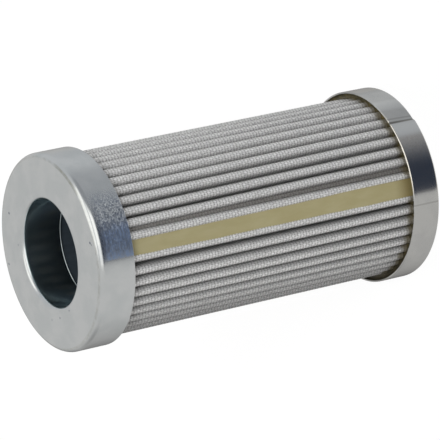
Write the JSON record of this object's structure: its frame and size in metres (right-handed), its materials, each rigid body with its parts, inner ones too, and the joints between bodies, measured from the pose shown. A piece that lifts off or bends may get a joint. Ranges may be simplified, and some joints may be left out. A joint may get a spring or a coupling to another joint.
{
  "type": "pleated hydraulic filter element",
  "caption": "Pleated cylindrical hydraulic filter element with wire mesh pleats, a side seam strip, pressed steel end caps, one open with a round bore, and a perforated core tube.",
  "frame": {"origin": "centre of the closed cap's outer face, on the element's axis, where it stands", "axes": "+Z along the axis from the closed cap to the open cap, the side seam faces -Y"},
  "size_m": [0.045, 0.045, 0.09],
  "materials": {
    "plated_cap_steel": "satin",
    "core_steel": "satin",
    "mesh_wire": "satin",
    "fleece": "matte",
    "glass_media": "matte",
    "seam_resin": "matte",
    "cap_adhesive": "semi-gloss"
  },
  "bodies": {
    "root": {"open_end_cap": "plated_cap_steel", "closed_end_cap": "plated_cap_steel", "core_tube": "core_steel", "outer_wire_mesh": "mesh_wire", "outer_fleece": "fleece", "coarse_media": "glass_media", "fine_media": "glass_media", "inner_fleece": "fleece", "inner_wire_mesh": "mesh_wire", "seam_strip": "seam_resin", "open_end_adhesive": "cap_adhesive", "closed_end_adhesive": "cap_adhesive"}
  },
  "joints": []
}
